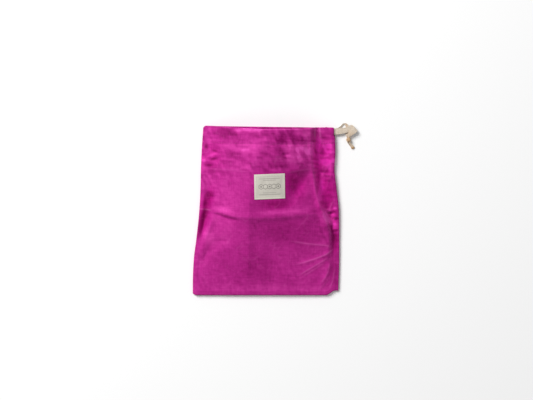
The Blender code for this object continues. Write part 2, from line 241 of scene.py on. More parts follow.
def layColours(tree, colour, layers):
    # each layer is an attribute's name, the colour that it lays over the last one, and how they blend
    for attribute, over, blend in layers:
        strength = addNode(tree, "Attribute", {"attribute_name": attribute}).outputs["Fac"]
        props = {"data_type": "RGBA", "blend_type": blend}
        colour = addNode(tree, "Mix", props, {7: over}, {0: strength, 6: colour}).outputs[2]
    return colour


def finishSurface(tree, shader, colour, height, bump):
    tree.links.new(colour, shader.inputs["Base Color"])
    values = {"Strength": bump[0], "Distance": bump[1] / 1000}
    relief = addNode(tree, "Bump", values=values, links={"Height": height})
    tree.links.new(relief.outputs[0], shader.inputs["Normal"])


# Cloth of the bag: plain-weave cotton coated with beeswax, which gives an even matt surface with a faint
# waxy gloss, slubs in both thread directions and paler lines where the wax has cracked at a crease. Its
# colour also carries painted shade and painted highlights of the folds and wrinkles, and a painted glow
# of cloth lit by cloth in the hollows

clothFinish = {
    "lightest": "#d948ab",
    "light": "#ca3899",
    "dye": "#ad2180",
    "deep": "#82045a",
    "stops": [(0.12, "light"), (0.5, "dye")],  # between the lightest at 0 and the deep dye at 1
    "worn": "#d860b0",
    "paintedBounce": (1.0, 0.25, 0.9, 1.0),  # what the painted glow of cloth lit by cloth multiplies the colour by
    "roughness": 0.62,
    "specular": 0.08,
    "threadSpacing": 1.1,  # real threads are 0.5 mm apart; twice that still shows in a close view
    "slubLength": 26.0,
    "slubWidth": 2.2,  # real slubs are 0.8 mm wide, too fine for the picture
    "slubShare": 0.3,  # how strongly the slubs move the colour
    # the wax's uneven depth of colour, broadly and in small spots: size, detail and share
    "blotches": [(48.0, 4.0, 0.4), (7.0, 3.0, 0.4)],
    "threadWaver": 1.2,
    "threadShare": 0.3,  # how much the threads count in the relief beside the slubs
    "bump": (0.5, 0.4),  # strength and depth
}


def waxedCotton(finish):
    material, tree, shader = startMaterial("waxed plain-weave cotton", finish)
    place = addNode(tree, "UVMap", {"uv_map": "cloth"})  # metres along the threads
    slub = crossedThreads(tree, place, 1000 / finish["slubWidth"], 1000 / finish["slubLength"], 3.0)
    patterns = [(slub, -1.0, finish["slubShare"])]
    for size, detail, share in finish["blotches"]:
        values = {"Scale": 1000 / size, "Detail": detail}
        patterns.append((addNode(tree, "TexNoise", values=values, links={"Vector": place}), -0.5, share))
    # the attribute read here holds the wax's depth of colour together with painted shade and painted
    # highlights of the folds and wrinkles
    level = addNode(tree, "Attribute", {"attribute_name": "waxAndShading"}).outputs["Fac"]  # lightest at 0, deep at 1
    for pattern, middle, share in patterns:
        shift = addNode(tree, "Math", {"operation": "ADD"}, {1: middle}, {0: pattern})
        level = addNode(tree, "Math", {"operation": "MULTIPLY_ADD"}, {1: share}, {0: shift, 2: level})
    dyed = addNode(tree, "ValToRGB", links={"Fac": level})
    stops = dyed.color_ramp.elements
    stops[0].color, stops[1].color = hexColour(finish["lightest"]), hexColour(finish["deep"])
    for at, dye in finish["stops"]:
        stops.new(at).color = hexColour(finish[dye])
    # a painted glow of cloth lit by cloth deepens the colour in the hollows; the paler cracked wax lies over
    # it
    layers = [("paintedBounce", finish["paintedBounce"], "MULTIPLY"), ("wear", hexColour(finish["worn"]), "MIX")]
    colour = layColours(tree, dyed.outputs[0], layers)
    scale = 1000 * math.pi / 10 / finish["threadSpacing"]  # a band texture repeats every pi / 10 of its place
    threads = []
    for direction in ("X", "Y"):
        props = {"wave_type": "BANDS", "bands_direction": direction}
        values = {"Scale": scale, "Distortion": finish["threadWaver"], "Detail": 1.0}
        threads.append(addNode(tree, "TexWave", props, values, {"Vector": place}).outputs[1])
    weave = addNode(tree, "Math", {"operation": "ADD"}, links=dict(enumerate(threads)))
    share = {1: finish["threadShare"]}
    relief = addNode(tree, "Math", {"operation": "MULTIPLY_ADD"}, share, {0: weave, 2: slub})
    finishSurface(tree, shader, colour, relief, finish["bump"])
    return material


clothMaterial = waxedCotton(clothFinish)

# Sewing thread: polyester spun thread, dyed to the cloth or left cream, a little shinier than cotton

threadFinish = {"roughness": 0.5, "specular": 0.3, "ply": 0.55}


def sewingThread(name, colour, light, finish):
    material, tree, shader = startMaterial(name, finish)
    place = addNode(tree, "TexCoord").outputs["Object"]
    values = {"Scale": 1000 / finish["ply"], "Detail": 1.0}
    twist = addNode(tree, "TexNoise", values=values, links={"Vector": place})
    shades = {6: hexColour(colour), 7: hexColour(light)}
    mixed = addNode(tree, "Mix", {"data_type": "RGBA"}, shades, {0: twist})
    tree.links.new(mixed.outputs[2], shader.inputs["Base Color"])
    return material


magentaThread = sewingThread("spun polyester thread, magenta", "#861560", "#a92f82", threadFinish)
creamThread = sewingThread("spun polyester thread, cream", "#c9bfa9", "#efe8d8", threadFinish)

# Drawstring: 13 mm herringbone cotton tape, unbleached, matt, tan where it is creased, with the same tan
# painted as shade in its narrow pleats and the knot's hollows, and golden-brown and frayed at its cut ends

tapeFinish = {
    "cream": "#ded1c2",
    "shade": "#ccbba5",
    # the tan of creased tape, also used as painted shade in pleats and hollows
    "tanAndShade": "#c39a68",
    "frayed": "#bd8c4e",
    "roughness": 0.88,
    "specular": 0.2,
    "chevron": 1.6,  # real herringbone rows are 1 mm apart
    "stripe": 2.2,  # how far across the tape a row runs before it turns back
    "mottle": 3.85,  # size of the cream's uneven spots
    "bump": (0.6, 0.3),
}


def tapeCotton(finish):
    material, tree, shader = startMaterial("herringbone cotton tape", finish)
    place = addNode(tree, "UVMap", {"uv_map": "cloth"})
    parts = addNode(tree, "SeparateXYZ", links={0: place})
    turned = addNode(tree, "Math", {"operation": "PINGPONG"}, {1: finish["stripe"] / 1000}, {0: parts})
    slant = addNode(tree, "Math", {"operation": "ADD"}, links={0: turned, 1: parts.outputs[1]})
    waves = {1: 2000 * math.pi / finish["chevron"]}
    rows = addNode(tree, "Math", {"operation": "MULTIPLY"}, waves, {0: slant})
    ridge = addNode(tree, "Math", {"operation": "SINE"}, links={0: rows})
    values = {"Scale": 1000 / finish["mottle"], "Detail": 3.0}
    mottle = addNode(tree, "TexNoise", values=values, links={"Vector": place})
    shades = {6: hexColour(finish["shade"]), 7: hexColour(finish["cream"])}
    base = addNode(tree, "Mix", {"data_type": "RGBA"}, shades, {0: mottle})
    layers = [("tanAndShade", hexColour(finish["tanAndShade"]), "MIX"), ("fray", hexColour(finish["frayed"]), "MIX")]
    finishSurface(tree, shader, layColours(tree, base.outputs[2], layers), ridge, finish["bump"])
    return material


tapeMaterial = tapeCotton(tapeFinish)

# The drawstring's free ends: two lengths of tape, each out of the slit in the right seam, through one
# overhand knot and on to a frayed tail. A row of a table is the tape's middle (x, y, z), the way a line
# across it points in plan, its width there and how far that line is tipped up.

drawstring = {
    "thickness": 0.95,
    "steps": 7,  # rings between two rows
    "around": 36,  # points round a ring
    "edgePower": 0.35,  # how squarely the tape's edges are cut
    "clearance": 0.05,  # above the table
    "fullWidth": 13.0,
    "pleats": 1.5,  # waves across the tape where it is drawn narrow
    "deepestPleat": 0.4,
    "pleatDrift": 0.35,  # how far they shift from row to row
    "pleatFade": (10.5, 4.0, 0.15),  # towards this width they fade, over so much, to this share
    "narrowTanAndShade": (10.0, 5.0, 0.6),  # below this width the tape is tanned and painted darker as shade in its pleats, over so much, this strongly
    "cleanRun": (30.0, 10.0),  # but not this near the slit
    "blotch": 3.0,
    "frayRun": 5.0,
    "fray": 0.85,
    "threadStart": 20.0,  # the threads' own places across the tape start here
    # places where the tape is tanned by creasing, or painted darker as shade where it goes into the knot, and
    # where a negative amount takes tan away: the row, how far along the rows, and how strongly
    "frontTanAndShade": [(8.8, 0.9, 0.25), (10.6, 0.5, 0.2), (11.3, 0.3, 1.0), (14.6, 1.0, -0.25)],
    "backTanAndShade": [(5.2, 0.7, 0.4), (10.4, 0.4, 0.7)],
    "front": [
        (143, 162.2, 7.1, 90, 13, 0), (150, 162.8, 6.7, 92, 12.6, 0), (158, 163.9, 6.2, 95, 11.6, 0),
        (166, 165.6, 5.9, 100, 11, 0), (173.4, 168.4, 5.5, 112, 13, 0), (179.4, 169.8, 5.3, 122, 14.8, 0),
        (183.6, 168.8, 6.3, 130, 13.2, 0), (182, 165.6, 7.5, 137, 12.4, 0),
        (177.2, 161.4, 7.8, 150, 12.6, 0), (172.8, 156.6, 7.6, 162, 10.4, 0),
        (170.4, 152.4, 6.6, 170, 7.2, 0), (169.6, 149.5, 6.0, 175, 5.6, 0),
        (169.8, 145.0, 5.4, 185, 4.6, 0), (171, 140.75, 4.9, 200, 4, 0), (174.4, 137.2, 3.5, 216, 3.6, 0),
        (177.6, 133.2, 2.3, 214, 3.9, 0), (179.6, 128.8, 2.0, 204, 5.6, 0),
    ],
    "back": [
        (143, 162.2, 5.2, 90, 13, 0), (147.5, 163.8, 4.3, 112, 12.4, 6), (151.4, 168.5, 2.9, 133, 7, 30),
        (155.8, 174.2, 1.7, 133, 3.2, 30), (160.2, 178.2, 1.6, 117, 3.4, 28),
        (164.6, 176.7, 2.6, 66, 6.2, 36), (167, 172.6, 2.8, 32, 7.2, 20), (168.4, 167, 2.4, 8, 9.4, 6),
        (168.4, 160.6, 2.5, 0, 10, 0), (168.6, 154, 3.6, 0, 7.6, 0), (169.4, 149.68, 4.6, 0, 5.4, 0),
        (169.5, 145.0, 4.3, 4, 4.6, 0), (169.5, 140.75, 3.3, 10, 4.4, 0), (172.4, 136.6, 1.6, 30, 4.2, 0),
        (175.8, 132.4, 0.9, 32, 4.4, 0), (178.2, 128.8, 0.9, 28, 5.4, 0),
    ],
}


def tapeTube(name, side, setup, seed):
    # A flat tube carried along the table's rows. Across the tape a ring is a slim superellipse, and its
    # middle is raised by a cosine of the place across, as deep as takes up what the tape is narrowed by.
    rows = np.array(setup[side], float)
    at = np.linspace(0, len(rows) - 1, (len(rows) - 1) * setup["steps"] + 1)[:, None]
    row = glide(np.arange(float(len(rows))), rows, at)
    middle, heading, width, tip = row[:, :3], np.radians(row[:, 3]), row[:, 4:5], np.radians(row[:, 5])
    across = np.stack([np.cos(heading) * np.cos(tip), np.sin(heading) * np.cos(tip), np.sin(tip)], -1)
    onward = unit(np.gradient(middle, axis=0))
    up = unit(np.cross(onward, across))
    angle = ringAngles(setup["around"])
    u = np.cos(angle)[None, :]
    half = np.sign(np.sin(angle)) * np.abs(np.sin(angle)) ** setup["edgePower"]
    spare = np.sqrt(np.clip(setup["fullWidth"] / width - 1, 0, None))
    pleat = np.minimum(width / (math.pi * setup["pleats"]) * spare, setup["deepestPleat"])
    flatWidth, fade, least = setup["pleatFade"]
    pleat = pleat * np.cos(tip)[:, None] ** 2 * (least + (1 - least) * smoothStep((flatWidth - width) / fade))
    wave = pleat * np.cos(math.pi * setup["pleats"] * u + at * setup["pleatDrift"])
    rise = wave - wave.mean(axis=1, keepdims=True) + half * setup["thickness"] / 2
    rings = middle[:, None] + across[:, None] * (u * width / 2)[..., None] + up[:, None] * rise[..., None]
    rings[..., 2] = np.maximum(rings[..., 2], setup["clearance"])
    path = rings.mean(axis=1)
    run = pathRun(path)[:, None]
    # tan where the tape is drawn narrow, also painted shade in its pleats, in blotches and stronger towards
    # its edges
    tanAndShadeWidth, fade, strength = setup["narrowTanAndShade"]
    blotch = 0.5 + 0.5 * clothNoise(run + 0 * u, u * width, setup["blotch"], seed)
    tanAndShade = smoothStep((tanAndShadeWidth - width) / fade) * ramp(run, *setup["cleanRun"])
    tanAndShade = tanAndShade * blotch * strength * (0.55 + 0.45 * np.abs(u))
    for place, reach, amount in setup[side + "TanAndShade"]:
        tanAndShade = tanAndShade + amount * bell(at - place, reach)
    fray = setup["fray"] * ramp(run, run[-1] - setup["frayRun"], setup["frayRun"]) + 0 * u
    uv = threadPlace(u * width / 2 + setup["threadStart"], run)
    faces = tubeFaces(1, len(rings), setup["around"], turned=True)
    shades = {"tanAndShade": np.clip(tanAndShade, 0, 1), "fray": fray}
    piece = makePiece(name, rings, faces, tapeMaterial, uv, shades)
    return piece, path, run[-1, 0], (middle[-1], across[-1], onward[-1], width[-1, 0])


fringe = {
    "threads": 18,
    "longest": 2.6,
    "shortest": 0.45,  # as a share of the longest
    "root": -0.25,  # where a thread starts inside the tape, as a share of its length
    "spread": 0.8,
    "rise": (-0.1, 0.35),
    "radius": 0.16,
    "taper": 0.6,
    "clearance": 0.02,
    "rings": 6,
    "sides": 5,
    "seed": 41,
    "tanAndShade": 0.5,
    "fray": 0.8,
}


def frayedEnd(name, end, setup, seed):
    # Loose threads at a cut end: each is a thin round tube along a line that bends sideways and down.
    middle, across, onward, width = end
    chance = np.random.default_rng(seed)
    count = setup["threads"]
    share = chance.uniform(-0.5, 0.5, (count, 1))
    length = chance.uniform(setup["shortest"], 1.0, (count, 1))[..., None] * setup["longest"]
    lean = (chance.uniform(-0.5, 0.5, (count, 1)) + share * setup["spread"])[..., None]
    t = np.linspace(setup["root"], 1, setup["rings"])[None, :, None]
    path = (middle + across * share * width)[:, None] + onward * (length * t)
    path = path + across * (lean * t * t) * length
    path[..., 2] += chance.uniform(*setup["rise"], (count, 1)) * (t[..., 0] * 2 - 0.3)
    path[..., 2] = np.maximum(path[..., 2], setup["radius"] + setup["clearance"])
    angle = ringAngles(setup["sides"])[:, None]
    circle = np.cos(angle) * across + np.sin(angle) * np.array([0, 0, 1.0])
    size = setup["radius"] * (1 - setup["taper"] * np.clip(t, 0, 1))[..., None]
    points = (path[:, :, None] + circle * size).reshape(-1, 3)
    faces = tubeFaces(count, setup["rings"], setup["sides"])
    shades = {key: np.full(len(points), setup[key]) for key in ("tanAndShade", "fray")}
    return makePiece(name, points, faces, tapeMaterial, points[:, :2] / 1000, shades)


knotShape = {
    "place": (169.6, 145.0, 4.95),
    "heading": -98.0,
    "turnRadius": 1.14,  # the loop's scale across the tape's run, and its reach along it
    "reach": 1.9,
    "tube": 1.85,
    "flat": 0.82,  # the rolled tape's two half widths, as shares of the tube
    "wide": 1.08,
    "grooves": [(5, 2, 0.09), (9, -3, 0.05)],  # waves round the tube, their turns along it, and depth
    "turnLength": 5.0,
    "tanAndShade": (0.4, 1.0),  # tan on the ridges, and more in the hollows as painted shade
    "clearance": 0.1,
    "rings": 150,
    "around": 20,
    "lean": 14.0,
}


def tapeKnot(name, setup):
    # The overhand knot's closed loop. Along t from 0 to a full turn its line is (sin t + 2 sin 2t,
    # cos t - 2 cos 2t) round the tape's run and -sin 3t along it. The tape is rolled round that line,
    # with shallow grooves of its folds.
    t, angle = ringAngles(setup["rings"])[:, None], ringAngles(setup["around"])
    turns = np.concatenate([np.sin(t) + 2 * np.sin(2 * t), np.cos(t) - 2 * np.cos(2 * t)], -1)
    line = np.concatenate([turns * setup["turnRadius"], -np.sin(3 * t) * setup["reach"]], -1)
    onward = unit(np.roll(line, -1, axis=0) - np.roll(line, 1, axis=0))
    outward = line * np.array([1, 1, 0.4])
    outward = unit(outward - (outward * onward).sum(-1, keepdims=True) * onward)
    reach = setup["tube"] * (1 + sum(depth * np.cos(w * angle + n * t) for w, n, depth in setup["grooves"]))
    rings = line[:, None] + outward[:, None] * (np.cos(angle) * reach * setup["flat"])[..., None]
    rings = rings + np.cross(onward, outward)[:, None] * (np.sin(angle) * reach * setup["wide"])[..., None]
    lean, heading = math.radians(setup["lean"]), math.radians(setup["heading"])
    tilt = np.array([[1, 0, 0], [0, math.cos(lean), -math.sin(lean)], [0, math.sin(lean), math.cos(lean)]])
    run = np.array([math.cos(heading), math.sin(heading), 0.0])
    axes = np.stack([np.cross(run, [0, 0, 1.0]), [0, 0, 1.0], run])  # the loop's own in the bag's frame
    points = rings.reshape(-1, 3) @ tilt.T @ axes + np.array(setup["place"])
    points[:, 2] = np.maximum(points[:, 2], setup["clearance"])
    hollow = (reach.max() - reach) / (reach.max() - reach.min())
    # the grooves' hollows take more of the tan as painted shade
    shades = {"tanAndShade": setup["tanAndShade"][0] + (setup["tanAndShade"][1] - setup["tanAndShade"][0]) * hollow, "fray": 0 * hollow}
    faces = gridFaces(len(t) + 1, len(angle), closed=True) % len(points)
    uv = threadPlace(angle * setup["tube"] + drawstring["threadStart"], t * setup["turnLength"])
    return makePiece(name, points, faces.tolist(), tapeMaterial, uv, shades)


frontCord, frontPath, frontRun, frontEnd = tapeTube("drawstringFront", "front", drawstring, 5)
backCord, backPath, backRun, backEnd = tapeTube("drawstringBack", "back", drawstring, 8)
knotPiece = tapeKnot("drawstringKnot", knotShape)
frontFringe = frayedEnd("frayedEndFront", frontEnd, fringe, fringe["seed"])
backFringe = frayedEnd("frayedEndBack", backEnd, fringe, fringe["seed"] + 1)
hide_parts("front_strand", "front_tail")
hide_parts("back_strand", "back_tail")
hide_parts("knot")
print("drawstring ready", round(float(frontRun), 1), round(float(backRun), 1))

# The bag: two panels sewn together at the sides and the bottom. A cross-section is its distance along
# the bag, the left and right edge, the lip (the radius of the cloth at a side seam), and the places
# where the front's profile turns: left foot, left shoulder, crest, right shoulder and right foot.

bag = {
    "cloth": 0.7,
    "lieThick": 1.2,  # what the lying cloth takes up, with its nap and small folds
    "bottom": -173.9,
    "mouthLeft": 172.3,
    "mouthRight": 168.6,
    "pullBack": 8.2,  # how far the front's edge is drawn back at the crest
    "pullPower": 1.4,
    "bottomLip": 2.6,
    "tuck": (123.6, 18.0, 9.3),  # the tucked bottom right corner: where it starts, its reach and its rise
    "cornerRound": 3.5,
    "mouthRound": 2.6,
    "hemDepth": 33.0,
    "hemRows": 13,
    "hemSewn": 6.0,  # over this length the hem comes down to its gap
    "tunnel": 1.9,
    "hemGap": 0.3,
    "hemEase": 1.9,  # from this column on the hem is drawn in, so that it stops at the next
    "hemEnd": 1.98,
    "seamGap": 0.1,
    "slitGap": 2.3,
    "slitEnd": 149.5,
    "slitFade": 4.0,
    # a small notch in the front's edge at the slit's lower end, where the dark inside shows
    "notch": 4.6,
    "notchPlace": 154.6,
    "notchHalf": 2.4,
    "slitDraw": 2.0,  # how far the seam is drawn in beyond the notch, and over what length
    "slitDrawRun": 4.0,
    "sections": [
        (-174, -150.4, 148.6, 2.6, -143, 6.2, -125, 6.8, -30, 7.6, 122, 6.8, 141, 6.2),
        (-150, -150.3, 149.4, 2.7, -142, 6.8, -124, 9.0, -30, 13.0, 123, 9.0, 140, 6.6),
        (-105, -148.5, 150.4, 2.9, -139, 7.4, -122, 12.5, -32, 21.5, 124, 12.0, 139, 6.8),
        (-55, -142.5, 150.4, 3.2, -133, 8.2, -118, 16.0, -35, 32.0, 128, 17.0, 141, 7.4),
        (-8, -137.5, 149.9, 3.6, -122, 9.0, -104, 21.0, -33, 43.0, 114, 21.0, 134, 8.4),
        (40, -134.5, 145.2, 4.2, -119, 11.5, -88, 31.0, -20, 50.0, 99, 28.5, 118, 10.5),
        (85, -133.5, 140.8, 4.7, -118, 14.0, -78, 38.5, 0, 56.5, 91, 35.5, 109, 12.2),
        (120, -132.0, 142.6, 5.0, -115, 16.0, -73, 42.5, 8, 60.0, 89, 39.0, 107, 13.4),
        (168, -128.8, 140.6, 5.2, -112, 17.0, -72, 44.0, 8, 61.5, 89, 40.0, 107, 14.4),
    ],
    # main folds: from (x, y), drawn towards (x, y), to (x, y), half width, height
    "folds": [
        (-120, 3, -24, -30, 134, 5, 9.0, 1.3), (-112, 87, -60, 84, -26, 77, 6, 0.5),
        (40, 78, 62, 85, 100, 85, 6, 0.5), (8, 160, -32, 110, -33, 70, 9, 0.6),
        (-33, 66, -36, -40, -38, -168, 8, 0.5), (96, 96, 99, 12, 136, -66, 6, 2.2),
        (124, 26, 136, -20, 140, -86, 6, -2.4), (140, -75, 108, -73, 76, -66, 6, 0.5),
        (138, -79, 114, -98, 64, -113, 6, 1.1), (128, -95, 102, -109, 70, -130, 6, 0.7),
        (133, -100, 128, -130, 108, -160, 6, 1.5), (-100, -8, -130, -40, -138, -112, 8.5, 3.4),
        (-62, -60, -112, -56, -134, -116, 9, -1.8), (-130, 38, -131, -10, -141, -62, 5, 2.3),
        (-116, 44, -120, -8, -137, -66, 6.5, -2.4), (100, 92, 66, 52, 40, 4, 15, -4.0),
    ],
    "foldFade": 0.22,  # the share of a line over which it comes and goes
    "foldPoints": 21,
    "creaseSteps": 6,
    # sharp creases and small wrinkles: (x, y) and so on along the line, half width, roundness, height, wear
    "creases": [
        (-118, -5, -98, -4, -63, -11, -33, -14.5, 8, -15, 68, -9.5, 108, -7, 130, -1, 15.0, 0.5, 2.4, 0.04),
        (7, 160, -6, 128, -28, 92, -33, 70, -34, -5, -36, -90, -37, -168, 20.0, 0.9, 2.6, 0.0),
        (-130, 87, -80, 83, -26, 77, 9.0, 0.7, 0.9, 0.12), (41, 76, 66, 81, 94, 85, 9.0, 0.7, 1.0, 0.12),
        (-25, 99.5, 40, 100.5, 94, 101, 4.0, 0.8, 0.35, 0.05),
        (96, 100, 96, 78, 103, 28, 119, -9, 131, -43, 134, -74, 4.5, 0.8, 0.9, 0.14),
        (46, -61, 88, -68, 123, -71.5, 137, -75, 3.5, 0.6, 0.7, 0.3),
        (52, -113, 100, -99, 128, -87, 138, -78, 3.5, 0.6, 1.1, 0.4),
        (62, -136, 104, -111, 128, -96.5, 3.2, 0.6, 0.9, 0.3),
        (-121, -1, -98, -4.5, -83, -9, -69, -12, -30, -15, 5.0, 0.4, 1.5, 0.04),
        (-112, -6.5, -101, -7.5, -91, -10.5, -78, -15, -62, -18, -44, -19, 4.6, 1.2, -2.0, 0.0),
        (-30, -22.5, 8, -23, 50, -19, 96, -16, 10.0, 3.0, -1.5, 0.0),
        (131, -6, 134, -22, 136, -46, 3.0, 0.5, -1.6, 0.0), (112, 3.5, 124, 2, 138, 0, 4.5, 1.2, 1.8, 0.1),
        (124, -6, 132, -6.5, 140, -4, 2.6, 0.6, -1.9, 0.0),
        (110, 98, 126, 100, 141, 97, 6.0, 1.5, 1.6, 0.0), (110, 80, 122, 79, 136, 84, 6.0, 2.0, -1.5, 0.0),
        (-105, 42, -113, 26, -116, 7, 3.0, 0.8, 1.1, 0.0), (22, 116, 36, 112, 50, 117, 3.0, 1.0, -0.7, 0.0),
        (56, 108, 76, 106, 97, 106, 2.5, 0.6, -0.6, 0.0), (112, 74, 124, 66, 140, 72, 5.0, 1.0, 1.2, 0.05),
        (-138, 3, -126, 2.5, -108, 0, 3.0, 0.6, 1.2, 0.3),
        (112, 158, 116, 138, 122, 126, 4.0, 0.9, 1.1, 0.1),
        (138, 122, 126, 112, 110, 108, 4.0, 0.9, 1.0, 0.1),
        (137, 100, 124, 92, 112, 88, 3.6, 0.9, 0.9, 0.1), (136, 76, 127, 58, 122, 36, 4.5, 1.0, 1.0, 0.05),
        (-60, 158, -52, 142, -55, 126, 5.0, 1.6, 0.8, 0.0),
        (30, 158, 36, 142, 30, 128, 5.0, 1.6, -0.9, 0.0), (66, 160, 70, 144, 62, 126, 5.0, 1.6, 0.9, 0.0),
        (72, -137, 98, -121, 122, -105, 3.0, 0.6, 0.5, 0.2),
        (131, -105, 126, -128, 110, -153, 4.0, 0.8, 0.8, 0.2),
        (141, -117, 137, -143, 130, -163, 3.5, 0.8, 0.7, 0.2),
        (129, -138, 119, -152, 106, -163, 3.5, 0.8, 0.6, 0.1),
        (-69, -61, -104, -63, -118, -78, -126, -99, -133, -112, 6.0, 2.0, -1.2, 0.0),
        (-131, 127, -112, 115.5, -92, 111, 5.0, 1.2, 1.7, 0.0),
        (-132, 104.5, -118, 101, -100, 98, 4.0, 1.0, 1.4, 0.05),
        (-127, 135, -112, 126, -98, 119, 4.5, 1.2, -1.4, 0.0),
        (-117, 108, -106, 105.5, -94, 106, 3.5, 1.0, -1.2, 0.0),
        (-131, 94.5, -118, 92, -104, 93, 4.0, 1.0, -1.4, 0.0),
        (-124, 148, -100, 134, -84, 130, 5.0, 1.2, 0.7, 0.0),
        (-75, 134, -52, 122, -20, 119, 7.0, 2.0, 0.8, 0.0),
        (139, 22, 132, 6, 128, -10, 3.5, 0.9, 1.0, 0.15),
        (143, -14, 136, -22, 133, -34, 3.5, 0.9, 1.0, 0.15),
        (133, 96, 121, 82, 113, 66, 4.5, 1.0, 0.9, 0.1),
        (129, 128, 115, 124, 104, 114, 4.5, 1.0, 0.7, 0.05),
        (96, 168, 100, 148, 98, 124, 97, 104, 5.0, 1.2, 1.0, 0.15),
        (93, 78, 74, 42, 52, 0, 5.0, 1.2, 0.8, 0.0), (99.5, 172, 99.5, 160, 100, 148, 2.2, 0.6, 0.6, 0.35),
        (109.5, 172, 110.5, 160, 111, 146, 2.2, 0.6, 0.7, 0.45),
        (73, 168, 77, 155, 88, 143, 4.0, 1.0, 0.8, 0.1), (45, 140, 40, 118, 24, 104, 6.0, 2.0, -0.8, 0.0),
        (-60, 60, -66, 20, -62, -4, 9.0, 3.0, 0.7, 0.0),
    ],
    # where the colour is deeper or lighter: a little the wax's depth, mostly painted shade below folds and on
    # slopes turned from the light, and painted highlights on lit slopes and along the mouth's edge: middle,
    # half sizes, turn in degrees, amount
    "patches": [
        (40, 148, 30, 10, 0, 0.3), (30, 163, 26, 4, 0, 0.15), (53, 57, 13, 18, 0, 0.3),
        (24, 14, 26, 9, 0, 0.3), (46, -40, 78, 30, 0, 0.25), (141, -120, 8, 46, 0, 0.25),
        (-40, -110, 60, 44, 0, 0.1), (-80, -11.5, 24, 4, -18, 0.4), (-2, 110, 12, 9, 0, 0.25),
        (35, 113, 12, 4, 20, 0.25), (20, 91, 22, 6, 0, 0.15), (66, 76, 22, 6, 0, 0.2),
        (-86, 156, 32, 9, 0, 0.3), (-122, 130, 4, 5, 0, 0.5), (-105, 122.5, 7, 2.8, -20, 0.5),
        (-108, 105, 6.5, 2.8, 12, 0.55), (-117, 93, 9, 3, 4, 0.55), (-114, 34, 9.5, 6, 0, 0.4),
        (-121, 20, 7, 14, -15, 0.4), (-126, -8, 7, 14, -25, 0.45), (-134, -34, 6, 22, -10, 0.55),
        (121, 80, 9, 6, 0, 0.35), (133, 40, 9, 30, 0, 0.1), (112, 48, 7, 34, -8, -0.6),
        (101, 60, 4.5, 22, -4, -0.4), (98, 142, 4, 28, 0, 0.2), (108, 132, 5, 44, 0, -0.45),
        (132, -5, 5, 3, 0, 0.5), (135, -32, 2.5, 14, 0, 0.5), (143.5, -16.5, 5, 2.4, 0, 0.8),
        (139, -2, 4, 2, 0, 0.4), (99, 0, 14, 7, 0, 0.25), (-60, 112, 14, 7, 0, 0.15),
        (80, 42, 14, 16, 0, -0.15), (-52, 126, 32, 8, 0, -0.3), (69, 119, 24, 17, 8, -0.42),
        (-75, 40, 36, 30, 0, -0.1), (126, 118, 17, 34, 0, -0.5), (129, 98, 10, 5.5, 10, -0.4),
        (124, -15, 9, 13, 25, -0.7), (141, -31, 6.5, 8, 0, -0.5), (140, -9, 6, 3, 0, -0.3),
        (141, 4.5, 5, 2.5, 0, -0.5), (142, -41, 7, 2.5, 10, 0.7), (141, -62, 7, 20, 0, 0.4),
        (-120, -52, 11, 18, 0, -0.3), (-86, -46, 36, 26, 0, -0.1), (0, -160, 130, 9, 0, -0.15),
        (-88, 2, 20, 6, -8, -0.32), (34, -2, 44, 6, 2, -0.33), (125, 1, 10, 4, 0, -0.4),
        (82, 154, 9, 11, 0, -0.2), (-30, 163.5, 36, 4.5, 0, -0.6), (40, 164, 42, 2.4, 0, -0.4),
        (-112, 113, 10, 4, 20, -0.35), (-127, 102, 5, 3.5, 0, -0.4), (96, 114, 9, 30, 0, -0.5),
        (-22, 122, 20, 11, 0, -0.25), (88, 141.5, 24, 2.2, 0, 0.4), (42, 143, 26, 3, 0, 0.15),
        (104, 150, 4, 18, 0, -0.2), (125, 153, 14, 10, 0, 0.35), (4, 10, 28, 10, 0, 0.15),
        (-10, -120, 40, 30, 0, 0.12),
    ],
    # where a painted glow of cloth lit by cloth deepens the colour, the same way: in the hollows
    "paintedBounce": [
        (-118, 24, 10, 22, -18, 1.0), (-130, -22, 10, 34, -14, 1.0), (122, 38, 22, 44, 0, 1.0),
        (124, 115, 20, 36, 0, 0.9), (103, 112, 11, 58, 0, 1.0), (141, -20, 10, 24, 0, 0.7),
        (142, -64, 8, 24, 0, 1.0), (-112, 110, 22, 28, 0, 0.5), (62, 50, 26, 28, 0, 0.8),
        (24, 12, 34, 13, 0, 0.6),
    ],
    # where the wrinkles' painted shade and light show more, the same way
    "wrinkled": [
        (122, 60, 30, 120, 0, 0.7), (-120, 60, 25, 100, 0, 0.2), (60, 132, 42, 34, 0, 0.25),
        (-90, 162, 44, 12, 0, 0.5),
    ],
    # cloth noise: size, its own x as shares of x and y, its own y the same way, and its seed after the bag's
    "grains": {
        "broad": (46.0, (1, 0), (0, 1), 0),
        "middle": (21.0, (1, 0.4), (-0.3, 1), 1),
        "ridges": (15.0, (1, -0.5), (0.5, 1), 2),
        "fine": (5.5, (1, 0), (0, 1), 3),
        "lumps": (24.0, (1, 0), (0, 1), 5),
        "streaks": (6.5, (1, 0.55), (-0.176, 0.32), 8),
        "slanting": (5.4, (1, 0.5), (-0.15, 0.3), 9),
        "level": (4.6, (0.32, 0), (0.1, 1), 10),
        "fading": (30.0, (1, 0), (0, 1), 11),
    },
    "heights": {"broad": 0.55, "middle": 0.3, "ridges": 0.38, "streaks": 0.3, "fine": 0.09, "lumps": 0.5},
    # where the small wrinkles grow, towards the mouth, the sides and their corners: start and length
    "rampMouth": (60.0, 60.0),
    "rampSides": (95.0, 25.0),
    "rampCorners": (80.0, 30.0),
    "rough": (0.55, 0.7, 0.35, 0.8),  # their strength everywhere, and what each ramp adds
    "shadeMouth": (50.0, 50.0),  # the same for the wrinkles' streaks of painted shade and light
    "shade": (0.28, 0.72),
    "slantShade": 0.24,  # how much the wrinkles' streaks of painted shade and light move the colour
    "levelShade": 0.2,
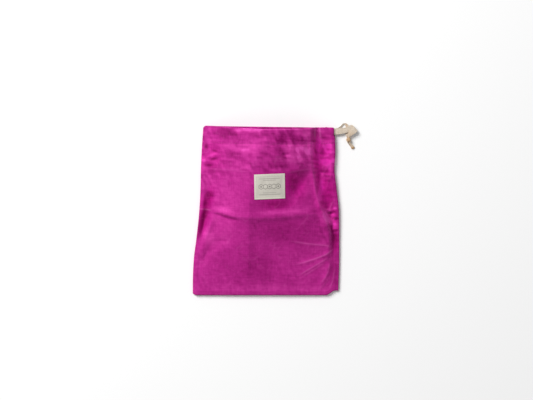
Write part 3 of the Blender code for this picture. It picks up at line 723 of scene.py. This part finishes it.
    "lineWear": 1.5,  # half width of a crease's pale line
    "ridgeWear": 0.1,
    "turnWear": 0.15,
    "stitchIn": 31.6,  # the casing's stitch line, from the mouth at the side seams
    "stitchEase": 2.3,  # how much less that is at the crest
    "stitchPull": 0.9,  # the groove that the stitches pull, and its half width
    "stitchGroove": 2.0,
    # puckers at the stitches: height, size, how they draw out across the line and where their noise
    # starts, and their reach from it
    "puckerDepth": 0.7,
    "puckerSize": 7.0,
    "puckerDraw": (0.12, 40.0),
    "puckerReach": 11.0,
    "backPucker": 0.2,
    "backRise": 20.0,  # the back's lumps rise over this length from its edges
    "allowance": (7.5, 2.4, 0.55),  # the seam allowance inside shows this far in, this wide and this high
    "allowanceFoot": (8.5, 0.8),  # the same at the bottom seam: how far in, and its share of that height
    "sideStretch": 1.04,  # the cloth's width along its rise, for each millimetre in plan
    "threadStart": 200.0,
    "frontGrid": (172, 200),  # columns and rows of the cloth
    "backGrid": (90, 100),
    "aroundLip": 6,
    "aroundMouth": 8,
    "seed": 11,
}
table = np.array(bag["sections"], float)
lowest = bag["bottom"] + bag["bottomLip"]
stretch = table[-1, 0] - lowest  # table distance from the bottom lip to the mouth
seamLeft, seamRight, seamLip = table[-1, 1:4]  # the side seams at the mouth, and their lip


def sectionAt(y):
    # each measure of the cross-section at these distances, as arrays of y's own shape
    found = glide(table[:, 0], table[:, 1:], np.asarray(y, float)[..., None])
    return [found[..., k] for k in range(found.shape[-1])]


def frontProfile(section, x):
    # height of the front's middle: a curve through rim, foot, shoulder, crest, shoulder, foot, rim
    left, right, lip = section[:3]
    rim = bag["lieThick"] / 2 + 2 * lip
    return glide(np.stack([left + lip, *section[3::2], right - lip]), np.stack([rim, *section[4::2], rim]), x)


foldLines = []
for *line, width, height in bag["folds"]:
    start, towards, end = np.array(line, float).reshape(3, 2)
    t = np.linspace(0, 1, bag["foldPoints"])[:, None]
    bent = (1 - t) ** 2 * start + 2 * t * (1 - t) * towards + t**2 * end
    foldLines.append((bent, width, None, height, 0.0))
for *line, width, roundness, height, wear in bag["creases"]:
    knots, points = np.arange(len(line) / 2), np.array(line, float).reshape(-1, 2)
    at = np.linspace(0, knots[-1], bag["creaseSteps"] * (len(knots) - 1) + 1)[:, None]
    foldLines.append((glide(knots, points, at), width, roundness, height, wear))


def grain(name, x, y):
    size, ownX, ownY, seed = bag["grains"][name]
    return clothNoise(ownX[0] * x + ownX[1] * y, ownY[0] * x + ownY[1] * y, size, bag["seed"] + seed)


def frontRelief(x, y):
    # A main fold is a bell over the distance from its line. A crease falls off with that distance as an
    # exponential whose tip is rounded, so it reads as pressed. Wear is how pale its line is. The small
    # ridges and streaks stand where their noise is near 0.
    total, pale = np.zeros(x.shape), np.zeros(x.shape)
    for line, width, roundness, height, wear in foldLines:
        away, share = lineDistance(line, x, y)
        fade = smoothStep(np.minimum(share, 1 - share) / bag["foldFade"])
        if roundness is None:
            total += height * fade * bell(away, width)
        else:
            total += height * fade * np.exp(-(np.sqrt(away**2 + roundness**2) - roundness) / width)
            pale += wear * fade * bell(away, bag["lineWear"])
    heights = bag["heights"]
    total += heights["broad"] * grain("broad", x, y) + heights["middle"] * grain("middle", x, y)
    ridged, streaked = np.abs(grain("ridges", x, y)), np.abs(grain("streaks", x, y))
    everywhere, mouth, sides, corners = bag["rough"]
    rough = everywhere + mouth * ramp(y, *bag["rampMouth"])
    rough += (sides + corners * ramp(y, *bag["rampCorners"])) * ramp(np.abs(x), *bag["rampSides"])
    small = heights["ridges"] * (0.4 - ridged) + heights["streaks"] * (0.4 - streaked)
    total += rough * (small + heights["fine"] * grain("fine", x, y))
    return total, pale + bag["ridgeWear"] * smoothStep((0.05 - ridged) / 0.05)


def patchDepth(patches, x, y):
    # each patch as a bell over a turned ellipse
    depth = np.zeros(x.shape)
    for px, py, halfX, halfY, turn, amount in patches:
        c, sn = math.cos(math.radians(turn)), math.sin(math.radians(turn))
        u, v = ((x - px) * c + (y - py) * sn) / halfX, ((y - py) * c - (x - px) * sn) / halfY
        depth += amount * np.exp(-((u * u + v * v) ** 1.5))
    return depth


def wrinkleShade(x, y):
    # painted shade and light of small wrinkles as darker and lighter streaks, slanting and level, most of all
    # near the mouth and along the side seams
    everywhere, mouth = bag["shade"]
    share = everywhere + mouth * ramp(y, *bag["shadeMouth"]) + patchDepth(bag["wrinkled"], x, y)
    slanting = grain("slanting", x, y) * (0.6 + 0.8 * grain("fading", x, y))
    return share * (bag["slantShade"] * slanting + bag["levelShade"] * grain("level", x, y))


def cornerRounding(x, left, size):
    return size * np.clip(1 - (x - left) / (2 * size), 0, 1) ** 2


def bottomEdge(x):
    start, reach, rise = bag["tuck"]
    return bag["bottom"] + rise * ramp(x, start, reach) + cornerRounding(x, table[0, 1], bag["cornerRound"])


def mouthLine(x):
    # a straight line between the mouth's ends at the side seams
    return bag["mouthLeft"] + (bag["mouthRight"] - bag["mouthLeft"]) * (x - seamLeft) / (seamRight - seamLeft)


def mouthEdge(x, side):
    # the straight line with its left end rounded; the front is drawn back by its share of the crest's height
    line = mouthLine(x) - cornerRounding(x, seamLeft, bag["mouthRound"])
    if side < 0:
        return line
    section = [np.asarray(value) for value in table[-1, 1:]]
    rim = bag["lieThick"] / 2 + 2 * seamLip
    crest = section[8]
    raised = np.clip((frontProfile(section, x) - rim) / (crest - rim), 0, 1)
    return line - bag["pullBack"] * raised ** bag["pullPower"]


def frontHeight(x, y):
    low = bottomEdge(x) + bag["bottomLip"]
    section = sectionAt(lowest + (y - low) / (mouthEdge(x, 1) - low) * stretch)
    return frontProfile(section, x) + frontRelief(x, y)[0]


def panelSurface(side, columns, rows):
    # The cloth's middle and its pale wear. Columns run 0 to 3 from the left seam over its lip, across,
    # and over the right lip; rows run 0 to 2 from the bottom seam over its lip to the mouth. On a lip the
    # cloth turns a quarter circle away from the seam, and between the lips its height is the profile
    # plus the folds, or flat on the table for the back.
    columns, rows = np.atleast_2d(np.asarray(columns, float)), np.asarray(rows, float)
    rows = rows[:, None] if rows.ndim == 1 else rows  # rows in two dimensions give each column its own
    along = np.maximum(rows - 1, 0)
    tableY = lowest + along * stretch
    section = sectionAt(tableY)
    left, right, lip = section[:3]
    around = math.pi / 2 * np.clip(np.minimum(columns, 3 - columns), 0, 1)
    turn = math.pi / 2 * np.minimum(rows, 1.0)
    x = left + lip + np.clip(columns - 1, 0, 1) * (right - left - 2 * lip)
    outward = np.where(columns < 1, -1.0, np.where(columns > 2, 1.0, 0.0))
    edgeX = x + outward * lip * np.cos(around)
    low = bottomEdge(edgeX) + bag["bottomLip"]
    y = low + along * (mouthEdge(edgeX, side) - low) - bag["bottomLip"] * np.cos(turn)
    slit = ramp(tableY, bag["slitEnd"], bag["slitFade"]) * (columns > 2)
    edgeZ = bag["lieThick"] / 2 + lip + side * (bag["seamGap"] + (bag["slitGap"] - bag["seamGap"]) * slit)
    fromMouth, fromEdge = (2 - rows) * stretch, np.minimum(edgeX - left, right - edgeX)
    stitch = fromMouth - stitchDistance(x, side)
    draw, start = bag["puckerDraw"]
    pucker = clothNoise(x, draw * stitch + start, bag["puckerSize"], bag["seed"] + 7)
    pucker = pucker * bell(stitch, bag["puckerReach"])
    if side > 0:
        folds, pale = frontRelief(x, y)
        inset, wide, high = bag["allowance"]
        foot, share = bag["allowanceFoot"]
        folds = folds + high * bell(fromEdge - inset, wide)
        folds = folds + share * high * bell(y - bottomEdge(edgeX) - foot, wide)
        folds = folds + bag["puckerDepth"] * pucker - bag["stitchPull"] * bell(stitch, bag["stitchGroove"])
        top = frontProfile(section, x) + folds
    else:
        pale = np.zeros(x.shape)
        lumps = bag["heights"]["lumps"] * np.abs(grain("lumps", x, y))
        lumps = lumps + bag["backPucker"] * np.clip(pucker, 0, 1)
        top = bag["cloth"] / 2 + lumps * smoothStep(fromEdge / bag["backRise"])
    raised = np.sin(around) * np.sin(turn)
    z = edgeZ + (top - edgeZ) * raised
    notch = bag["notch"] * bell(y - bag["notchPlace"], bag["notchHalf"]) * (side > 0)
    notch = notch + bag["slitDraw"] * ramp(y, bag["notchPlace"], bag["slitDrawRun"])
    notch = notch * np.clip(columns - 2, 0, 1) ** 2
    return np.stack(np.broadcast_arrays(edgeX - notch, y, z), -1), pale * raised


def panelFrame(side, columns, rows, step=2e-3):
    # places on the cloth with the outward normal and the direction towards the mouth
    columns, rows = np.asarray(columns, float), np.asarray(rows, float)
    here, before = panelSurface(side, columns, rows)[0], panelSurface(side, columns, rows - step)[0]
    left, right = np.maximum(columns - step, 0), np.minimum(columns + step, 3)
    across = panelSurface(side, right, rows)[0] - panelSurface(side, left, rows)[0]
    return here, unit(np.cross(across, here - before) * side), unit(here - before)


def stitchDistance(x, side):
    # from the mouth to the casing's stitch line, less by the crest's share of the front's height
    if side < 0:
        return bag["stitchIn"]
    drawn = np.clip(mouthLine(x) - mouthEdge(x, side), 0, bag["pullBack"])
    return bag["stitchIn"] - bag["stitchEase"] / bag["pullBack"] * drawn


def rowFromMouth(distance):
    return 2 - np.asarray(distance, float) / stretch


def columnAt(x):
    # the column between the lips at the mouth that lies at x
    return 1 + (x - seamLeft - seamLip) / (seamRight - seamLeft - 2 * seamLip)


def makePanel(name, side, across, along):
    # the outer cloth, then the turn at the mouth as half a circle, then the hem inside it
    lipSteps = np.linspace(0, 1, bag["aroundLip"] + 1)
    columns = np.concatenate([lipSteps[:-1], 1 + np.linspace(0, 1, across + 1), 3 - lipSteps[:-1][::-1]])
    rows = np.concatenate([lipSteps[:-1], 1 + np.linspace(0, 1, along + 1)])
    outer, pale = panelSurface(side, columns, rows)
    ease, end = bag["hemEase"], bag["hemEnd"]
    hemColumns = np.where(columns > ease, ease + (columns - ease) / (3 - ease) * (end - ease), columns)
    radius = (bag["lieThick"] + bag["tunnel"]) / 2
    lines, pales = [outer], [pale]
    for angle in np.linspace(0, math.pi, bag["aroundMouth"] + 1)[1:-1]:
        mixed = columns + (hemColumns - columns) * angle / math.pi
        here, normal, onward = panelFrame(side, mixed, [2.0])
        lines.append(here - radius * normal + radius * (normal * math.cos(angle) + onward * math.sin(angle)))
        pales.append(np.full((1, len(columns)), bag["turnWear"] * math.sin(angle)))
    depth = np.linspace(0, bag["hemDepth"], bag["hemRows"])
    here, normal, _ = panelFrame(side, hemColumns, rowFromMouth(depth))
    sewn = ramp(depth, bag["hemDepth"] - bag["hemSewn"], bag["hemSewn"])[:, None, None]
    inset = bag["lieThick"] + bag["tunnel"] + (bag["hemGap"] - bag["tunnel"]) * sewn
    lines.append(here - inset * normal)
    pales.append(np.zeros(here.shape[:2]))
    grid = np.concatenate(lines)
    x, y = grid[..., 0], grid[..., 1]
    # painted shade and light of the small wrinkles' streaks over a middle depth of wax
    waxAndShading, paintedBounce = 0.5 + wrinkleShade(x, y), np.zeros(x.shape)
    if side > 0:
        # on the front: the patches of painted shade and painted highlight, with some of the wax's depth
        waxAndShading = waxAndShading + patchDepth(bag["patches"], x, y)
        # the painted glow of cloth lit by cloth, in the hollows
        paintedBounce = np.clip(patchDepth(bag["paintedBounce"], x, y), 0, 1)
    faces = gridFaces(*x.shape)
    faces = faces if side > 0 else faces[:, ::-1]
    uv = threadPlace(x * bag["sideStretch"] + bag["threadStart"], pathRun(grid)[:, None])
    shades = {"wear": np.concatenate(pales), "waxAndShading": waxAndShading, "paintedBounce": paintedBounce}
    piece = makePiece(name, grid, faces.tolist(), clothMaterial, uv, shades)
    thicken(piece, bag["cloth"])
    return piece


frontPiece = makePanel("frontPanel", 1, *bag["frontGrid"])
backPiece = makePanel("backPanel", -1, *bag["backGrid"])
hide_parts("front_panel")
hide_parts("back_panel")
print("panels ready")

# Tape inside the casing: in at the slit, along the front, round the left seam and back along the back

casing = {
    "fromMouth": 10.3,
    "width": 13.0,
    "thickness": 0.9,
    "climbStart": 7.0,  # where its ends rise to the slit, from the right seam
    "climbEnd": 0.7,
    "start": 142.7,  # just short of the drawstring's first rows
    "climbSteps": 8,
    "aroundLip": 4,
    "columns": 90,
    "lines": 5,  # from edge to edge of the tape
}


def casingTape(name, setup):
    # lines from edge to edge of the tape follow the cloth, half the tunnel inside it; at the right seam
    # both ends rise by an eased step to meet the drawstring's first rows
    inset = (bag["lieThick"] + bag["tunnel"]) / 2
    climbX = seamRight - setup["climbStart"]
    lip = np.linspace(0, 1, setup["aroundLip"] + 1)[:-1]
    columns = np.concatenate([lip, np.linspace(1, columnAt(climbX), setup["columns"])])
    acrossTape = np.linspace(-0.5, 0.5, setup["lines"])
    rows = rowFromMouth(setup["fromMouth"] + acrossTape * setup["width"])
    halves = []
    for side, run in ((1, columns[::-1]), (-1, columns)):
        here, normal, _ = panelFrame(side, run, rows)
        halves.append(here - inset * normal)
    ring = np.concatenate(halves, axis=1).transpose(1, 0, 2)
    steps = np.linspace(climbX, setup["start"], setup["climbSteps"] + 1)[1:, None]
    ease = ramp(steps, climbX, setup["climbStart"] - setup["climbEnd"])
    climbs = []
    for side, inner in (("front", ring[0]), ("back", ring[-1])):
        _, y, z, _, width, _ = drawstring[side][0]
        across = inner[:, 1] + (y - acrossTape * width - inner[:, 1]) * ease
        height = inner[:, 2] + (z - inner[:, 2]) * ease
        climbs.append(np.stack(np.broadcast_arrays(steps, across, height), -1))
    grid = np.concatenate([climbs[0][::-1], ring, climbs[1]])
    run = pathRun(grid[:, setup["lines"] // 2])
    uv = threadPlace(acrossTape * setup["width"] + drawstring["threadStart"], run[:, None])
    shades = {key: np.zeros(grid.shape[:2]) for key in ("tanAndShade", "fray")}
    faces = gridFaces(*grid.shape[:2]).tolist()
    piece = makePiece(name, grid, faces, tapeMaterial, uv, shades)
    thicken(piece, setup["thickness"])
    return piece, float(run[-1])


casingPiece, casingRun = casingTape("casingTape", casing)
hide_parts("casing_tape")
print("casing tape ready", round(casingRun, 1))

# Stitches

stitching = {
    "length": 2.7,
    "pitch": 3.4,
    "radius": 0.34,
    "sink": 0.05,
    "rings": 5,
    "sides": 6,
    "first": -126.0,  # the casing's line, from x to x on the front and on the back
    "frontLast": 136.0,
    "backLast": 133.0,
    "outerEnds": (1.005, 1.995),  # and the columns that it stays between, outside and on the hem
    "innerEnds": (1.005, 1.955),
}


def stitchRow(name, places, normals, onward, material, slot, setup):
    # each stitch is a short spindle along the line that arches out of the cloth in its middle
    s = np.linspace(-1, 1, setup["rings"])[:, None]
    size = setup["radius"] * np.sqrt(np.clip(1.02 - s**2, 0.05, 1))  # nearly round, with blunt ends
    arch = setup["radius"] * (0.5 - 1.1 * s**2)
    angle = ringAngles(setup["sides"])[:, None]
    places, normals, onward = places[:, None], normals[:, None], onward[:, None]
    middle = places + onward * (s * setup["length"] / 2) + normals * arch
    circle = unit(np.cross(normals, onward)) * np.cos(angle) + normals * np.sin(angle)
    rings = middle[:, :, None] + circle[:, None] * size[..., None]
    faces = tubeFaces(len(places), setup["rings"], setup["sides"], turned=True)
    return makePiece(name, rings, faces, material)


def casingLine(side, inside):
    # stitches along the casing's sewn line, on the outer cloth or on the hem's inner face
    first, last = stitching["first"], stitching["frontLast" if side > 0 else "backLast"]
    x = np.linspace(first, last, int((last - first) / stitching["pitch"]))
    columns = np.clip(columnAt(x), *stitching["innerEnds" if inside else "outerEnds"])
    x = seamLeft + seamLip + (columns - 1) * (seamRight - seamLeft - 2 * seamLip)
    rows = rowFromMouth(stitchDistance(x, side)) + 0 * columns[None]
    here, normal, _ = (part[0] for part in panelFrame(side, columns, rows))
    out = bag["cloth"] / 2 - stitching["sink"]
    if inside:
        normal = -normal
        out = bag["cloth"] / 2 + bag["lieThick"] + bag["hemGap"]
    return here + normal * out, normal, unit(np.gradient(here, axis=0))


casingStitches, hemStitchesFront, hemStitchesBack = (
    stitchRow(name, *casingLine(side, inside), magentaThread, "waxed_cotton", stitching)
    for name, side, inside in (
        ("casingStitches", 1, False), ("hemStitchesFront", 1, True), ("hemStitchesBack", -1, True),
    )
)
print("casing stitches ready")

# Label: a cream woven cotton patch, turned under and sewn on all round, printed in grey

label = {
    "width": 62.0,
    "depth": 50.4,
    "thickness": 0.45,
    "x": 7.4,
    "y": 48.8,
    "turn": 2.4,
    "lean": 0.9,  # the turn of its sides, which are sewn a little askew
    "lift": 0.12,
    "hem": 5.0,  # the turned-under edge, a double thickness
    "hemRise": 0.3,
    "hemSlope": 1.6,
    "stitchIn": 3.2,
    "stitchDip": (0.22, 0.9),  # depth and half width of the dip along the stitches
    "stitchSink": 0.03,
    "stitch": {"length": 2.5, "radius": 0.3},
    "columns": 161,
    "rows": 129,
    "cellRadius": 5.0,  # the printed row of honeycomb cells
    "cells": 5,
    "dot": 1.7,
    "line": 0.55,
    "rules": [(16.0, 21.5), (12.6, 12.9)],  # the printed rules' distance from the middle and half length
    "ruleLine": 0.33,
    "soft": 0.4,  # over this length the ink fades out
    "print": 0.8,
    "rim": (0.8, 3.8, 0.8),  # strength of the worn rim, where it ends, and over what length
    "threadStart": (40.0, 30.0),
    "cream": "#c8c3b9",
    "uneven": (0.93, 1.04),  # the cream's darkest and lightest threads
    "edge": "#d4d0c4",
    "ink": "#6d6864",
    "roughness": 0.85,
    "specular": 0.2,
    "threads": (420, 60),  # the threads' noise in a metre, across them and along them
    "bump": (0.5, 0.3),
}


def labelPrint(a, b):
    # Ink is 1 inside a row of pointed-top honeycomb cell outlines, the dots in every other cell, and a
    # long and a short rule above and below them. Each shape is a distance, below 0 inside it.
    flat = label["cellRadius"] * math.sqrt(3) / 2
    shapes = []
    for k in range(label["cells"]):
        da, db = np.abs(a - (k - (label["cells"] - 1) / 2) * 2 * flat), np.abs(b)
        edge = np.maximum(da, da / 2 + db * math.sqrt(3) / 2) - flat
        shapes.append(np.abs(edge) - label["line"])
        if k % 2 == 0:
            shapes.append(np.hypot(da, db) - label["dot"])
    for place, half in label["rules"]:
        rule = np.abs(np.abs(b) - place) - label["ruleLine"]
        shapes.append(np.maximum(rule, (np.abs(a) - half) * 0.5))
    return smoothStep(0.5 - np.min(shapes, axis=0) / label["soft"])


def labelHeight(a, b):
    # the cloth below, half of both thicknesses, and a rise over the turned-under edge that dips at the
    # stitches
    turn, lean = math.radians(label["turn"]), math.radians(label["lean"])
    x = label["x"] + a * math.cos(turn) - b * math.sin(lean)
    y = label["y"] + a * math.sin(turn) + b * math.cos(lean)
    fromEdge = np.minimum(label["width"] / 2 - np.abs(a), label["depth"] / 2 - np.abs(b))
    rise = label["hemRise"] * smoothStep((label["hem"] - fromEdge) / label["hemSlope"] + 0.5)
    depth, half = label["stitchDip"]
    over = (bag["cloth"] + label["thickness"]) / 2 + label["lift"]
    return x, y, frontHeight(x, y) + over + rise - depth * bell(fromEdge - label["stitchIn"], half), fromEdge


def labelCotton(finish):
    material, tree, shader = startMaterial("woven cotton label", finish)
    place = addNode(tree, "UVMap", {"uv_map": "cloth"})
    threads = crossedThreads(tree, place, *finish["threads"], 2.0)
    tone = addNode(tree, "MapRange", values={"From Min": 0.7, "From Max": 1.3}, links={"Value": threads})
    shades = {6 + k: hexColour(finish["cream"], strength) for k, strength in enumerate(finish["uneven"])}
    body = addNode(tree, "Mix", {"data_type": "RGBA"}, shades, {0: tone})
    layers = [("rim", hexColour(finish["edge"]), "MIX"), ("print", hexColour(finish["ink"]), "MIX")]
    finishSurface(tree, shader, layColours(tree, body.outputs[2], layers), threads, finish["bump"])
    return material


def makeLabel(name):
    shares = (np.linspace(-0.5, 0.5, label[count]) for count in ("columns", "rows"))
    a, b = np.meshgrid(*shares)
    a, b = a * label["width"], b * label["depth"]
    x, y, z, fromEdge = labelHeight(a, b)
    strength, end, length = label["rim"]
    rim = strength * smoothStep((end - fromEdge) / length)
    shades = {"print": labelPrint(a, b) * label["print"], "rim": rim}
    uv = threadPlace(a + label["threadStart"][0], b + label["threadStart"][1])
    points, faces = np.stack([x, y, z], -1), gridFaces(*a.shape).tolist()
    piece = makePiece(name, points, faces, labelCotton(label), uv, shades)
    thicken(piece, label["thickness"])
    return piece


def labelBorder():
    # places of the stitches: a rectangle a little inside the label's edge, stepped at an even pitch
    half = np.array([label["width"], label["depth"]]) / 2 - label["stitchIn"]
    corners = half * np.array([(-1, -1), (1, -1), (1, 1), (-1, 1), (-1, -1)])
    places, runs = [], []
    for start, end in zip(corners[:-1], corners[1:]):
        count = int(np.linalg.norm(end - start) / stitching["pitch"])
        t = (np.arange(count) + 0.5)[:, None] / count
        places.append(start + (end - start) * t)
        runs.append(np.broadcast_to(unit(end - start), (count, 2)))
    flat, run = np.concatenate(places), np.concatenate(runs)
    sideways = np.stack([-run[:, 1], run[:, 0]], -1)
    spots = (flat, flat + run * 0.5, flat + sideways * 0.5)
    middle, ahead, aside = (np.stack(labelHeight(*spot.T)[:3], -1) for spot in spots)
    normal = unit(np.cross(ahead - middle, aside - middle))
    return middle + normal * (label["thickness"] / 2 - label["stitchSink"]), normal, unit(ahead - middle)


labelPiece = makeLabel("wovenLabel")
labelSetup = {**stitching, **label["stitch"]}
labelStitches = stitchRow("labelStitches", *labelBorder(), creamThread, "label_cotton", labelSetup)
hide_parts("label")
print("label ready")

# Floor and light

studio = {
    "floor": "#f4f4f4",
    "roughness": 0.9,
    "specular": 0.1,
    "floorHalf": 4.0,  # metres, like the light's measures
    "floorHeight": -0.0002,
    "worldStrength": 0.42,
    "key": {"place": (-2.7, 2.6, 3.3), "size": 2.7, "power": 280.0},
}


def makeStudio(setup):
    mesh = bpy.data.meshes.new("floor")
    half, height = setup["floorHalf"], setup["floorHeight"]
    corners = [(x * half, y * half, height) for x, y in ((-1, -1), (1, -1), (1, 1), (-1, 1))]
    mesh.from_pydata(corners, [], [(0, 1, 2, 3)])
    material, _, shader = startMaterial("painted board", setup)
    shader.inputs["Base Color"].default_value = hexColour(setup["floor"])
    mesh.materials.append(material)
    addObject("floor", mesh)
    world = bpy.data.worlds.new("studio")
    world.use_nodes = True
    background = world.node_tree.nodes["Background"]
    background.inputs["Color"].default_value = (1, 1, 1, 1)
    background.inputs["Strength"].default_value = setup["worldStrength"]
    bpy.context.scene.world = world
    data = bpy.data.lights.new("key", "AREA")
    data.shape = "DISK"
    data.size = setup["key"]["size"]
    data.energy = setup["key"]["power"]
    lamp = addObject("key", data)
    lamp.location = setup["key"]["place"]
    lamp.rotation_euler = (-lamp.location).to_track_quat("-Z", "Y").to_euler()
    bpy.context.scene.view_settings.view_transform = "Standard"


makeStudio(studio)
print("floor and light ready")
